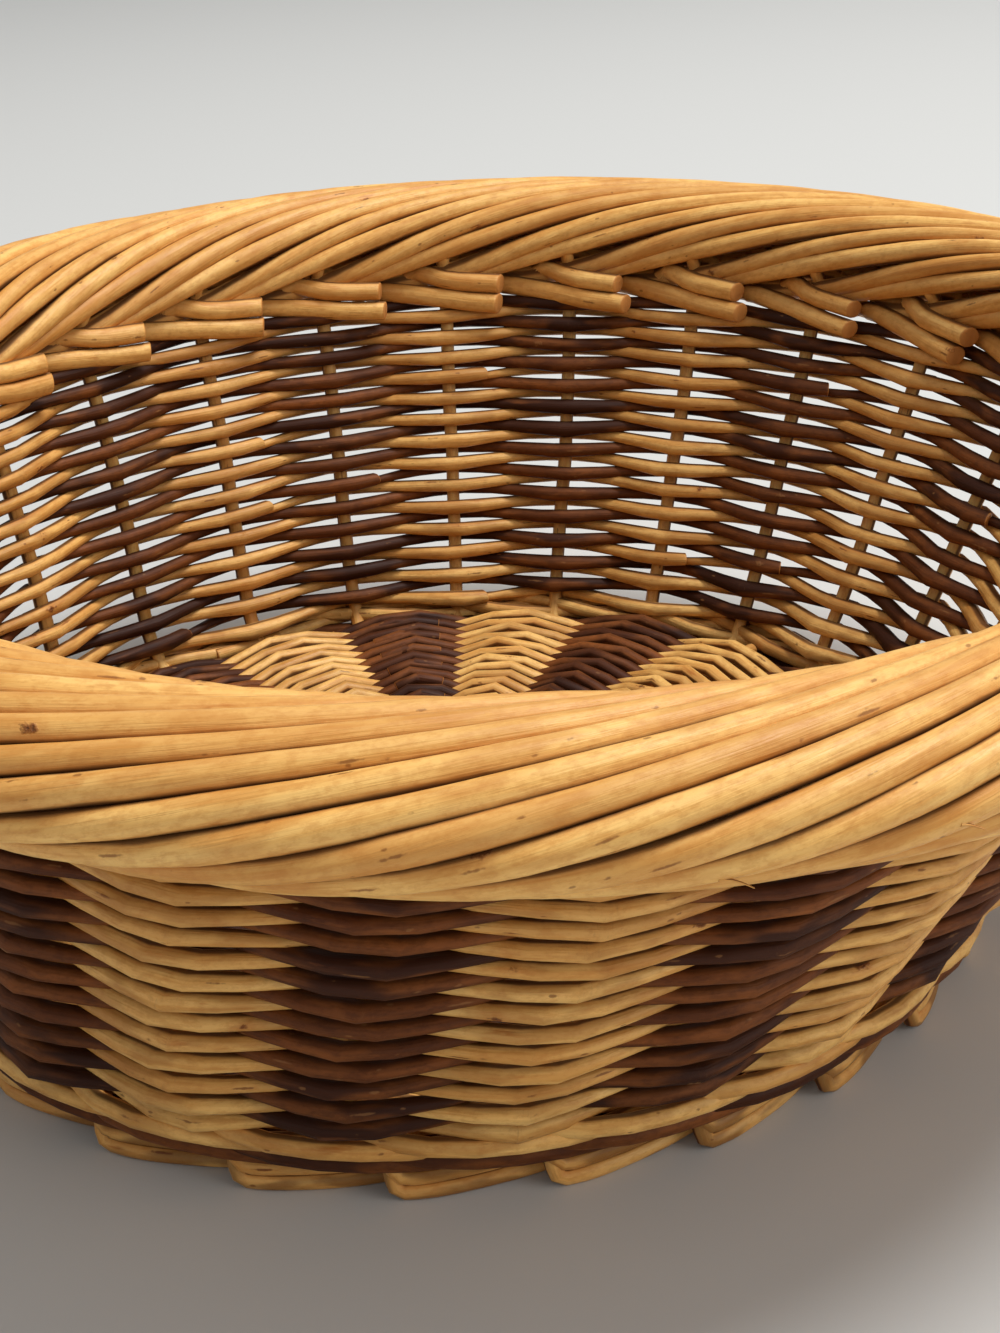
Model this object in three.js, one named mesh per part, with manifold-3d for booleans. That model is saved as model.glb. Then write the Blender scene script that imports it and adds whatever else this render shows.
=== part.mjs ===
// A round willow basket, as a basket maker builds it: a stick base, upright stakes, a wall woven in two
// colours, a foot border underneath and a thick rolled border at the rim.
//
// Lengths are millimetres, +Z is up and z = 0 is the floor. Every piece is laid out on a true round basket
// first. The last step slides and tips the upper levels, because the real basket leans a little.

import * as THREE from 'three';
import Module from 'manifold-3d';

// Rim: a roll of rods with a flattened round section
const RIM_RADIUS = 170;
const RIM_HEIGHT = 114.8;
const ROLL_HALF_WIDTH = 19.7;
const ROLL_HALF_HEIGHT = 13.1;
const ROLL_START = THREE.MathUtils.degToRad(-110);
const ROLL_END = THREE.MathUtils.degToRad(200);
const ROLL_STEPS = 8;
const BORDER_GAP = 0.6;

// Stakes: the uprights, whose cut tops stand inside the roll
const STAKE_COUNT = 26;
const STAKE_RADIUS = 2.1;
const FIRST_STAKE_ANGLE = THREE.MathUtils.degToRad(93.6);
const WALL_FOOT_HEIGHT = 22;
const WALL_FOOT_SPREAD = 8.1;
const WALL_SET_IN = 13.5;
const STUB_LENGTH = 6;

// Border rods: a pair for each stake. Their cut ends lie inside, one above the other, and bite into the stake.
const BORDER_RODS_PER_STAKE = 2;
const BORDER_ROD_BUTT_RADIUS = 2.45;
const BORDER_ROD_TIP_RADIUS = 2.2;
const BORDER_ROD_BITE = 0.5;
const BUTT_SHARE = 0.42;
const LEAVE_SHARE = 0.05;
const ROLL_LEAD_SHARE = 0.4;

// Wall weave: rows of rod, buff and brown by turns
const WEAVER_RADIUS = 1.18;
const WEAVE_GAP = 0.4;

// Wales: the stouter rows round the foot of the wall
const WALE_RADIUS = 1.9;

// Foot border: two rods, one above the other, laid round the bottom in short steps
const FOOT_ROD_RADIUS = 2.1;
const FOOT_RADIUS = 122.2;
const FOOT_STEP = 1;
const FOOT_STEP_LENGTH = 2.5;
const FOOT_LEAD_SHARE = 0.27;
const STAKE_INSET_ON_FOOT = 1.7;

// Base: five sticks through five, opened out as twenty spokes, with two flat-lying weavers
const BASE_STICKS_EACH_WAY = 5;
const SPLIT_STICK_HALF = 2.6;
const THROUGH_STICK_HALF = 1.9;
const BASE_RISE = 4;
const BASE_TURNS = 5;
const BASE_BAND_HALF_HEIGHT = 1.3;
const BASE_GAP = 0.9;
const BASE_START_SHARE = 1.85;
const BASE_ANGLE = FIRST_STAKE_ANGLE + THREE.MathUtils.degToRad(8);

// How the finished basket leans: the rim's slide along +X, its fall along +X and rise along +Y, and how far
// round the feet of the stakes at the back stand from their tops
const RIM_SLIDE = 19.5;
const TIP_X_SHARE = -0.026;
const TIP_Y_SHARE = 0.035;
const STAKE_LEAN_ANGLE = THREE.MathUtils.degToRad(6.5);

// Sections
const ROD_SIDES = 5;
const WEAVER_SIDES = 4;
const BASE_STICK_SIDES = 4;
const FOOT_SECTION_SHARES = [
  [-0.7, 0], [0.7, 0], [1, 1], [0.6, 2], [1, 3], [0.5, 4], [-0.5, 4], [-1, 2],
];

// Finishes
const BUFF = { color: 0xc79a5c, roughness: 0.55 };
const BROWN = { color: 0x4a2a1a, roughness: 0.5 };
const BASE_STICK_FINISH = { color: 0x9c7442, roughness: 0.65 };

// Border: what follows from the sizes above
const STAKE_STEP = (2 * Math.PI) / STAKE_COUNT;
const BORDER_ROD_STEP = STAKE_STEP / BORDER_RODS_PER_STAKE;
const ROLL_PATH_HALF_WIDTH = ROLL_HALF_WIDTH - BORDER_ROD_BUTT_RADIUS;
const ROLL_PATH_HALF_HEIGHT = ROLL_HALF_HEIGHT - BORDER_ROD_BUTT_RADIUS;
const RIM_UNDERSIDE = RIM_HEIGHT - ROLL_HALF_HEIGHT;
const BUTT_TOP_HEIGHT = RIM_UNDERSIDE + BORDER_GAP;
const BUTT_PITCH = 2 * BORDER_ROD_BUTT_RADIUS + BORDER_GAP;
const LOWEST_BUTT_HEIGHT = BUTT_TOP_HEIGHT - (BORDER_RODS_PER_STAKE - 1) * BUTT_PITCH;

// The slope at which rods that start one step apart lie side by side, on the inside and where they start
const BORDER_SLOPE = Math.max(
  slopeSideBySide(BORDER_ROD_TIP_RADIUS, RIM_RADIUS - ROLL_PATH_HALF_WIDTH),
  slopeSideBySide(BORDER_ROD_BUTT_RADIUS, RIM_RADIUS + ROLL_PATH_HALF_WIDTH * Math.cos(ROLL_START)),
);

// Foot and wall: each piece stands on the one below it
const FOOT_HEIGHT = 4 * FOOT_ROD_RADIUS;
const STAKE_FOOT_RADIUS = FOOT_RADIUS - STAKE_INSET_ON_FOOT;
const WALL_FOOT_RADIUS = FOOT_RADIUS + WALL_FOOT_SPREAD;
const STAKE_FOOT_HEIGHT = FOOT_HEIGHT + WEAVE_GAP + STAKE_RADIUS * Math.SQRT1_2;
const BROWN_WALE_HEIGHT = FOOT_HEIGHT + WEAVE_GAP + WALE_RADIUS;
const BUFF_WALE_HEIGHT = BROWN_WALE_HEIGHT + WALE_RADIUS + WEAVE_GAP + WALE_RADIUS;
const WALL_TOP_RADIUS = RIM_RADIUS - WALL_SET_IN;
const WALL_TOP_HEIGHT = RIM_UNDERSIDE - BORDER_GAP;
const TURN_SLOPE = Math.atan2(WALL_FOOT_RADIUS - STAKE_FOOT_RADIUS, WALL_FOOT_HEIGHT - STAKE_FOOT_HEIGHT);
const WALL_SLOPE = Math.atan2(WALL_TOP_RADIUS - WALL_FOOT_RADIUS, WALL_TOP_HEIGHT - WALL_FOOT_HEIGHT);

// Weave: as many rows as fill the height between the buff wale and the border rods
const WEAVE_UNDERSIDE = BUFF_WALE_HEIGHT + WALE_RADIUS;
const WEAVE_TOPSIDE = LOWEST_BUTT_HEIGHT - BORDER_ROD_BUTT_RADIUS;
const WEAVE_HEIGHT = WEAVE_TOPSIDE - WEAVE_UNDERSIDE - WEAVE_GAP;
const WEAVER_ROWS = Math.round(WEAVE_HEIGHT / (2 * WEAVER_RADIUS + WEAVE_GAP));
const WEAVER_PITCH = WEAVE_HEIGHT / WEAVER_ROWS;

// Base: sticks side by side where they cross, and a weave that reaches to the stakes
const BASE_SPOKES = 4 * BASE_STICKS_EACH_WAY;
const BASE_SPOKE_STEP = (2 * Math.PI) / BASE_SPOKES;
const BASE_CROSS_HALF = (2 * SPLIT_STICK_HALF + WEAVE_GAP) / Math.tan(BASE_SPOKE_STEP);
const BASE_RADIUS = STAKE_FOOT_RADIUS - STAKE_RADIUS - WEAVE_GAP;
const BASE_FIRST_RADIUS = BASE_CROSS_HALF * BASE_START_SHARE;
const BASE_BAND_PITCH = (BASE_RADIUS - BASE_FIRST_RADIUS) / (BASE_TURNS + 3 / 4);
const BASE_BAND_HALF_WIDTH = (BASE_BAND_PITCH / 2 - WEAVE_GAP) / 2;
const BASE_BAND_OFFSET = SPLIT_STICK_HALF + BASE_BAND_HALF_HEIGHT + BASE_GAP;
const BASE_HEIGHT = FOOT_HEIGHT + WEAVE_GAP + BASE_BAND_HALF_HEIGHT + BASE_BAND_OFFSET;

const wasm = await Module();
wasm.setup();

const UP = new THREE.Vector3(0, 0, 1);

function radial(angle) {
  return new THREE.Vector3(Math.cos(angle), Math.sin(angle), 0);
}

function at(angle, radius, height) {
  return radial(angle).multiplyScalar(radius).setZ(height);
}

function slopeSideBySide(rodRadius, atRadius) {
  return Math.asin((2 * rodRadius + BORDER_GAP) / (atRadius * BORDER_ROD_STEP));
}

// The regular section of a rod: points round a circle of unit radius
function roundSection(sides) {
  const points = [];
  for (let side = 0; side < sides; side += 1) {
    const turn = (2 * Math.PI * side) / sides;
    points.push(new THREE.Vector2(Math.cos(turn), Math.sin(turn)));
  }
  return points;
}

// The four-cornered section of a flat-lying rod, with its corners on the unit square
function squareSection() {
  return [[1, -1], [1, 1], [-1, 1], [-1, -1]].map(([x, y]) => new THREE.Vector2(x, y));
}

// The direction of the rod at one station, midway between the stretches that meet there
function directionAt(stations, index, closed) {
  const count = stations.length;
  const here = stations[index].place;
  const before = closed || index > 0 ? stations[(index + count - 1) % count].place : null;
  const after = closed || index < count - 1 ? stations[(index + 1) % count].place : null;
  const direction = new THREE.Vector3();
  if (before) direction.add(here.clone().sub(before).normalize());
  if (after) direction.add(after.clone().sub(here).normalize());
  return direction.normalize();
}

// A rod swept through stations. A station has a place, the section's half size, and the way the section
// faces. Where it names none it keeps the way it faced before, untwisted. An open rod has flat ends.
function sweep(stations, section, closed) {
  const positions = [];
  const indices = [];
  const sides = section.length;
  let facing = stations[0].facing;
  stations.forEach((station, index) => {
    const direction = directionAt(stations, index, closed);
    const wanted = station.facing ?? facing;
    facing = wanted.clone().addScaledVector(direction, -wanted.dot(direction)).normalize();
    const across = facing.clone().cross(direction);
    for (const corner of section) {
      const point = station.place.clone();
      point.addScaledVector(facing, corner.x * station.half);
      point.addScaledVector(across, corner.y * (station.halfAcross ?? station.half));
      positions.push(point.x, point.y, point.z);
    }
  });
  const stretches = closed ? stations.length : stations.length - 1;
  for (let stretch = 0; stretch < stretches; stretch += 1) {
    const near = stretch * sides;
    const far = ((stretch + 1) % stations.length) * sides;
    for (let side = 0; side < sides; side += 1) {
      const next = (side + 1) % sides;
      indices.push(near + side, far + side, near + next);
      indices.push(near + next, far + side, far + next);
    }
  }
  if (!closed) {
    const last = (stations.length - 1) * sides;
    for (let side = 1; side < sides - 1; side += 1) {
      indices.push(0, side, side + 1);
      indices.push(last, last + side + 1, last + side);
    }
  }
  const geometry = new THREE.BufferGeometry();
  geometry.setAttribute('position', new THREE.Float32BufferAttribute(positions, 3));
  geometry.setIndex(indices);
  return geometry;
}

function toSolid(geometry) {
  const vertProperties = new Float32Array(geometry.getAttribute('position').array);
  const triVerts = new Uint32Array(geometry.getIndex().array);
  return new wasm.Manifold(new wasm.Mesh({ numProp: 3, vertProperties, triVerts }));
}

function joined(geometries) {
  const solid = geometries.map(toSolid).reduce((whole, next) => whole.add(next));
  const mesh = solid.getMesh();
  const geometry = new THREE.BufferGeometry();
  geometry.setAttribute('position', new THREE.Float32BufferAttribute(mesh.vertProperties, 3));
  geometry.setIndex(Array.from(mesh.triVerts));
  return geometry;
}

// Lean: every level of the wall slides and tips by its share of what the rim does, and the lower a level
// is, the more its back is turned
function lean(geometry) {
  const position = geometry.getAttribute('position');
  for (let index = 0; index < position.count; index += 1) {
    const point = new THREE.Vector3().fromBufferAttribute(position, index);
    const climb = (point.z - WALL_FOOT_HEIGHT) / (RIM_UNDERSIDE - WALL_FOOT_HEIGHT);
    const share = THREE.MathUtils.clamp(climb, 0, 1);
    const tip = TIP_X_SHARE * point.x + TIP_Y_SHARE * point.y;
    const atBack = (1 + Math.cos(Math.atan2(point.y, point.x) - FIRST_STAKE_ANGLE)) / 2;
    point.applyAxisAngle(UP, (share - 1) * atBack * STAKE_LEAN_ANGLE);
    position.setXYZ(index, point.x + (share - 1) * RIM_SLIDE, point.y, point.z + share * tip);
  }
  return geometry;
}

const basket = new THREE.Group();

function addPiece(name, geometry, finish) {
  const leaning = lean(geometry);
  leaning.computeVertexNormals();
  const material = new THREE.MeshStandardMaterial({ ...finish, metalness: 0, flatShading: true });
  const mesh = new THREE.Mesh(leaning, material);
  mesh.name = name;
  basket.add(mesh);
}

// The middle of the wall at a height: a straight-sided cone, with a flatter turn below it
function wallRadius(height) {
  const below = height < WALL_FOOT_HEIGHT;
  const [lowRadius, lowHeight] = below
    ? [STAKE_FOOT_RADIUS, STAKE_FOOT_HEIGHT]
    : [WALL_FOOT_RADIUS, WALL_FOOT_HEIGHT];
  const [highRadius, highHeight] = below
    ? [WALL_FOOT_RADIUS, WALL_FOOT_HEIGHT]
    : [WALL_TOP_RADIUS, WALL_TOP_HEIGHT];
  return lowRadius + ((highRadius - lowRadius) * (height - lowHeight)) / (highHeight - lowHeight);
}

function stakeAngle(stake) {
  return FIRST_STAKE_ANGLE + stake * STAKE_STEP;
}

// The stretch of a border rod that lies on the roll: up the outside, over the top and down the inside,
// climbing at one slope, so that rods set side by side stay side by side
function rollStations(angle) {
  const stations = [];
  let laid = 0;
  let before = null;
  for (let step = 0; step <= ROLL_STEPS; step += 1) {
    const share = step / ROLL_STEPS;
    const turn = THREE.MathUtils.lerp(ROLL_START, ROLL_END, share);
    const spot = new THREE.Vector2(
      ROLL_PATH_HALF_WIDTH * Math.cos(turn),
      ROLL_PATH_HALF_HEIGHT * Math.sin(turn),
    );
    laid += before ? spot.distanceTo(before) : 0;
    before = spot;
    const advance = laid / Math.tan(BORDER_SLOPE) / RIM_RADIUS;
    stations.push({
      place: at(angle + advance, RIM_RADIUS + spot.x, RIM_HEIGHT + spot.y),
      half: THREE.MathUtils.lerp(BORDER_ROD_BUTT_RADIUS, BORDER_ROD_TIP_RADIUS, share),
    });
  }
  return stations;
}

// The stake itself: up from the foot border and along the wall to its cut top inside the roll
function stakeRod(angle) {
  const heights = [STAKE_FOOT_HEIGHT, WALL_FOOT_HEIGHT, WALL_TOP_HEIGHT, WALL_TOP_HEIGHT + STUB_LENGTH];
  const stations = heights.map((height) => (
    { place: at(angle, wallRadius(height), height), half: STAKE_RADIUS, facing: radial(angle) }
  ));
  return sweep(stations, roundSection(ROD_SIDES), false);
}

// A border rod: it passes behind the stake, goes out under the roll and winds on. The upper rod of each pair
// goes out first.
function borderRod(angle, order) {
  const height = BUTT_TOP_HEIGHT - order * BUTT_PITCH;
  const stakeFlat = STAKE_RADIUS * Math.cos(Math.PI / ROD_SIDES);
  const inside = wallRadius(height) - stakeFlat - BORDER_ROD_BUTT_RADIUS + BORDER_ROD_BITE;
  const half = BORDER_ROD_BUTT_RADIUS;
  const tail = [
    { place: at(angle - BUTT_SHARE * STAKE_STEP, inside, height), half, facing: radial(angle) },
    { place: at(angle + LEAVE_SHARE * STAKE_STEP, inside, height), half },
  ];
  const roll = rollStations(angle + ROLL_LEAD_SHARE * STAKE_STEP + order * BORDER_ROD_STEP);
  return sweep([...tail, ...roll], roundSection(ROD_SIDES), false);
}

// Stakes, each with its pair of border rods
function addStakes() {
  for (let stake = 0; stake < STAKE_COUNT; stake += 1) {
    const rods = [stakeRod(stakeAngle(stake))];
    for (let order = 0; order < BORDER_RODS_PER_STAKE; order += 1) {
      rods.push(borderRod(stakeAngle(stake), order));
    }
    const number = String(stake + 1).padStart(2, '0');
    addPiece(`stake_${number}`, joined(rods), BUFF);
  }
}

// One row of the wall: before every other stake and behind the rest
function weaverRing(height, behindEven) {
  const slope = height < WALL_FOOT_HEIGHT ? TURN_SLOPE : WALL_SLOPE;
  const offset = (STAKE_RADIUS + WEAVER_RADIUS + WEAVE_GAP) / Math.cos(slope);
  const stations = [];
  for (let stake = 0; stake < STAKE_COUNT; stake += 1) {
    const inside = (stake % 2 === 0) === behindEven;
    const radius = wallRadius(height) + (inside ? -offset : offset);
    const angle = stakeAngle(stake);
    stations.push({ place: at(angle, radius, height), half: WEAVER_RADIUS, facing: radial(angle) });
  }
  return sweep(stations, roundSection(WEAVER_SIDES), true);
}

// Wall rows from the bottom up, buff and brown by turns. Each colour keeps to its own stakes, so the
// colours stand in upright stripes.
function addWeavers() {
  for (let row = 0; row < WEAVER_ROWS; row += 1) {
    const height = WEAVE_UNDERSIDE + WEAVE_GAP + WEAVER_RADIUS + row * WEAVER_PITCH;
    const buff = row % 2 === 0;
    const number = String(Math.floor(row / 2) + 1).padStart(2, '0');
    addPiece(`weaver_${buff ? 'buff' : 'brown'}_${number}`, weaverRing(height, buff), buff ? BUFF : BROWN);
  }
}

// A wale lies against the outside of every stake
function addWale(name, height, finish) {
  const offset = (STAKE_RADIUS + WALE_RADIUS + WEAVE_GAP) / Math.cos(TURN_SLOPE);
  const radius = (wallRadius(height) + offset) / Math.cos(STAKE_STEP / 2);
  const stations = [];
  for (let stake = 0; stake < STAKE_COUNT; stake += 1) {
    const angle = stakeAngle(stake + 0.5);
    stations.push({ place: at(angle, radius, height), half: WALE_RADIUS, facing: radial(angle) });
  }
  addPiece(name, sweep(stations, roundSection(WEAVER_SIDES), true), finish);
}

// Foot border: just past each stake a pair of rods steps out over the end of the pair before it
function addFootBorder() {
  const section = FOOT_SECTION_SHARES.map(([x, y]) => new THREE.Vector2(x, y));
  const stations = [];
  for (let stake = 0; stake < STAKE_COUNT; stake += 1) {
    const start = stakeAngle(stake + FOOT_LEAD_SHARE);
    const end = stakeAngle(stake + 1 + FOOT_LEAD_SHARE) - FOOT_STEP_LENGTH / FOOT_RADIUS;
    for (const [angle, radius] of [[start, FOOT_RADIUS + FOOT_STEP], [end, FOOT_RADIUS - FOOT_STEP]]) {
      stations.push({ place: at(angle, radius, 0), half: FOOT_ROD_RADIUS, facing: radial(angle) });
    }
  }
  addPiece('foot_border', sweep(stations, section, true), BUFF);
}

// The base rises a little towards its middle
function baseHeight(radius) {
  return BASE_HEIGHT + BASE_RISE * (1 - radius / BASE_RADIUS);
}

// Base sticks: side by side where they cross, then opened out as evenly spaced spokes that end at the stakes
function baseStick(order, quarter, half) {
  const stakeInside = wallRadius(BASE_HEIGHT - half) - STAKE_RADIUS / Math.cos(TURN_SLOPE);
  const reach = stakeInside - WEAVE_GAP;
  const spread = (order - (BASE_STICKS_EACH_WAY - 1) / 2) * BASE_SPOKE_STEP;
  const middle = BASE_CROSS_HALF / Math.cos(spread);
  const facing = UP;
  const nearHeight = baseHeight(BASE_CROSS_HALF);
  const endHeight = baseHeight(reach);
  const stations = [
    { place: at(Math.PI - spread, reach, endHeight), half, facing },
    { place: at(Math.PI - spread, middle, nearHeight), half },
    { place: at(spread, middle, nearHeight), half },
    { place: at(spread, reach, endHeight), half },
  ];
  const stick = sweep(stations, roundSection(BASE_STICK_SIDES), false);
  return stick.rotateZ(BASE_ANGLE + (quarter * Math.PI) / 2);
}

function addBaseSticks() {
  const sticks = [];
  for (let order = 0; order < BASE_STICKS_EACH_WAY; order += 1) {
    sticks.push(baseStick(order, 0, SPLIT_STICK_HALF));
    sticks.push(baseStick(order, 1, THROUGH_STICK_HALF));
  }
  addPiece('base_sticks', joined(sticks), BASE_STICK_FINISH);
}

// A base weaver winds outwards, over one spoke and under the next. The brown one lies half a turn's width
// outside the buff one and goes the other way about at each spoke.
function addBaseWeaver(name, startRadius, overEven, finish) {
  const stations = [];
  for (let spoke = 0; spoke <= BASE_TURNS * BASE_SPOKES; spoke += 1) {
    const angle = BASE_ANGLE + spoke * BASE_SPOKE_STEP;
    const radius = startRadius + (BASE_BAND_PITCH * spoke) / BASE_SPOKES;
    const over = (spoke % 2 === 0) === overEven;
    const height = baseHeight(radius) + (over ? BASE_BAND_OFFSET : -BASE_BAND_OFFSET);
    stations.push({
      place: at(angle, radius, height),
      half: BASE_BAND_HALF_HEIGHT,
      halfAcross: BASE_BAND_HALF_WIDTH,
      facing: UP,
    });
  }
  addPiece(name, sweep(stations, squareSection(), false), finish);
}

addStakes();
addWeavers();
addWale('wale_brown', BROWN_WALE_HEIGHT, BROWN);
addWale('wale_buff', BUFF_WALE_HEIGHT, BUFF);
addFootBorder();
addBaseSticks();
addBaseWeaver('base_weaver_buff', BASE_FIRST_RADIUS, false, BUFF);
addBaseWeaver('base_weaver_brown', BASE_FIRST_RADIUS + BASE_BAND_PITCH / 2, true, BROWN);

export default basket;
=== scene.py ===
"""A round willow basket with a rolled border, woven in buff and brown rods.

Every piece is laid out on a true round basket first, and then leans as the finished basket does. A straight
rod is modelled once for each count of rings, and each rod of the basket is a bent copy of one. Lengths are
metres, +Z is up and z = 0 is the floor.
"""

import math
from functools import cache

import bmesh
import bpy
import numpy as np
from bpy.props import FloatProperty, FloatVectorProperty, IntProperty, PointerProperty
from mathutils import Color, Matrix, Vector


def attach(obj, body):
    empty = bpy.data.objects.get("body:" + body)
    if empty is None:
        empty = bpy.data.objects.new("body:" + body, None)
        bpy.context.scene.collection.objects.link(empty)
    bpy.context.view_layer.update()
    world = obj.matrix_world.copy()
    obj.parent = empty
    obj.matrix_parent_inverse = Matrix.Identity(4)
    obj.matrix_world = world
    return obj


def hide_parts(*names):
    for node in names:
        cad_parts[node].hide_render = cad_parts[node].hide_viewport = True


bl_info = {
    "name": "Willow basket",
    "version": (1, 0, 0),
    "blender": (4, 5, 0),
    "location": "View3D > Sidebar > Basket",
    "description": "Builds a round willow basket, rod by rod, around its measured frame",
    "category": "Add Mesh",
}

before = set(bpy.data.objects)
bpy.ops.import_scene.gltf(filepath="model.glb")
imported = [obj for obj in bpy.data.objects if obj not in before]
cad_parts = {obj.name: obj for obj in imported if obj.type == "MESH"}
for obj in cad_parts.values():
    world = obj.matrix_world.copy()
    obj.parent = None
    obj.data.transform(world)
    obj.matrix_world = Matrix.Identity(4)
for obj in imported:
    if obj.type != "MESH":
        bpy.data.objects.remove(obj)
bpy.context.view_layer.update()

BODY = "root"
SEED = 26
TAU = 2 * math.pi
UP = np.array([0, 0, 1.0])


# Settings

def settings_of(**kind):
    """Makes the settings of one kind, each from its name, description and default."""
    def setting(name, description, default):
        return FloatProperty(name=name, description=description, default=default, **kind)
    return setting


length = settings_of(min=0, unit="LENGTH", precision=4)
ratio = settings_of(precision=3)
rotation = settings_of(unit="ROTATION")
power = settings_of(unit="POWER")


def whole(name, description, default):
    return IntProperty(name=name, description=description, default=default, min=8)


def colour(name, description, *levels):
    """A colour whose default has the usual 0 to 255 values, which become the linear ones of Blender."""
    linear = tuple(Color([level / 255 for level in levels]).from_srgb_to_scene_linear())
    return FloatVectorProperty(
        name=name, description=description, default=linear, subtype="COLOR", size=3, min=0, max=1
    )


class BasketShape(bpy.types.PropertyGroup):
    rim_radius: length("Rim radius", "Radius of the middle of the rolled border", 0.170)
    rim_height: length("Rim height", "Height of the middle of the rolled border", 0.1148)
    roll_half_width: length("Roll half width", "Half the width of the rolled border", 0.0197)
    roll_half_height: length("Roll half height", "Half the height of the rolled border", 0.0131)
    wall_set_in: length("Wall set in", "How far the top of the wall stands inside the rim", 0.0135)
    wall_foot_radius: length("Wall foot radius", "Radius of the wall where it turns up", 0.1303)
    wall_foot_height: length("Wall foot height", "Height at which the wall turns up", 0.022)
    foot_radius: length("Foot radius", "Radius of the foot border", 0.1222)
    rim_slide: length("Rim slide", "How far the rim stands to one side of the foot", 0.0195)
    tip_x_share: ratio("Tip to the side", "Rise of the rim for each metre along X", -0.026)
    tip_y_share: ratio("Tip to the back", "Rise of the rim for each metre along Y", 0.035)
    stake_lean: rotation("Stake lean", "How far round the feet of the back stakes stand", math.radians(6.5))
    first_stake: rotation("First stake", "Where the count of the stakes starts", math.radians(93.6))


class RodSizes(bpy.types.PropertyGroup):
    stake_count: whole("Stakes", "Number of upright stakes", 26)
    wall_rows: whole("Wall rows", "Rows of rod in the wall, buff and brown by turns", 28)
    base_rows: whole("Base rows", "Rows of rod in the base, both colours together", 35)
    border_butt: length("Border rod butt", "Half the thickness of a border rod at its thick end", 0.00272)
    border_tip: length("Border rod tip", "Half the thickness of a border rod at its thin end", 0.00264)
    stake: length("Stake", "Half the thickness of a stake", 0.0020)
    weaver_butt: length("Wall rod butt", "Half the thickness of a wall rod at its thick end", 0.00225)
    weaver_tip: length("Wall rod tip", "Half the thickness of a wall rod at its thin end", 0.0020)
    wale: length("Wale rod", "Half the thickness of a rod of the wales", 0.0020)
    foot: length("Foot rod", "Half the thickness of a rod of the foot border", 0.0018)
    base: length("Base rod", "Half the thickness of a rod of the base weave", 0.0017)
    base_stick: length("Base stick", "Half the thickness of a stick of the base", 0.0026)


class WillowColours(bpy.types.PropertyGroup):
    buff_light: colour("Buff light", "Palest streaks of the buff rods", 253, 208, 128)
    buff_mid: colour("Buff", "Main colour of the buff rods", 234, 174, 89)
    buff_deep: colour("Buff deep", "Darker streaks of the buff rods", 196, 126, 52)
    # Stain is also painted shade: it darkens the buff rods towards where they meet, and over the whole rod
    # by the shade setting.
    stain_and_shade: colour("Stain", "Orange-brown stains on the buff rods", 186, 104, 32)
    speck: colour("Speck", "Leaf scars, knots and specks", 112, 54, 10)
    # Grime is also painted shade: the willow materials darken the rods with it where they meet.
    grime_and_shade: colour("Grime", "What has gathered between the rods", 62, 30, 5)
    cut: colour("Cut end", "Wood at a cut end", 206, 138, 70)
    brown_light: colour("Brown light", "Worn streaks of the brown rods", 150, 86, 36)
    brown_mid: colour("Brown", "Main colour of the brown rods", 98, 50, 18)
    # Brown deep is also painted shade: it darkens the brown rods where they meet.
    brown_deep_and_shade: colour("Brown deep", "Darkest bark of the brown rods", 54, 23, 6)
    scuff: colour("Scuff", "Pale scuffs where the bark has worn", 156, 108, 62)


class StudioSettings(bpy.types.PropertyGroup):
    floor: colour("Floor", "Colour of the floor", 208, 208, 205)
    camera_place: FloatVectorProperty(
        name="Camera place", description="Where the camera stands", default=(-0.0195, -0.4223, 0.2465),
        subtype="TRANSLATION", unit="LENGTH", size=3,
    )
    camera_pitch: rotation("Pitch", "How far the camera looks down", 0.432)
    camera_yaw: rotation("Yaw", "How far the camera turns right", 0.034)
    camera_roll: rotation("Roll", "How far the camera rolls", -0.06)
    focal_length: ratio("Focal length", "Lens of the camera in millimetres", 52.72)
    key_power: power("Main light", "Power of the large light above", 104.0)
    fill_power: power("Fill light", "Power of the light in front", 35.0)
    sky: ratio("Sky", "Strength of the even light from all round", 0.40)


# Layout: the true round basket, and the lean of the finished one

FOOT_HEIGHT = 0.0074
STAKE_INSET_ON_FOOT = 0.0017
ROD_CLEARANCE = 0.0004


def blend(edge_low, edge_high, value):
    """A smooth step from 0 at the low edge to 1 at the high edge."""
    step = np.clip((np.asarray(value, float) - edge_low) / (edge_high - edge_low), 0, 1)
    return step * step * (3 - 2 * step)


def around(angle, radius, height):
    """Points at an angle, a radius and a height round the middle of the basket."""
    angle, radius, height = np.broadcast_arrays(np.asarray(angle, float), radius, height)
    return np.stack([radius * np.cos(angle), radius * np.sin(angle), height], axis=-1)


def outward(angle):
    return around(angle, 1.0, 0.0)


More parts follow.
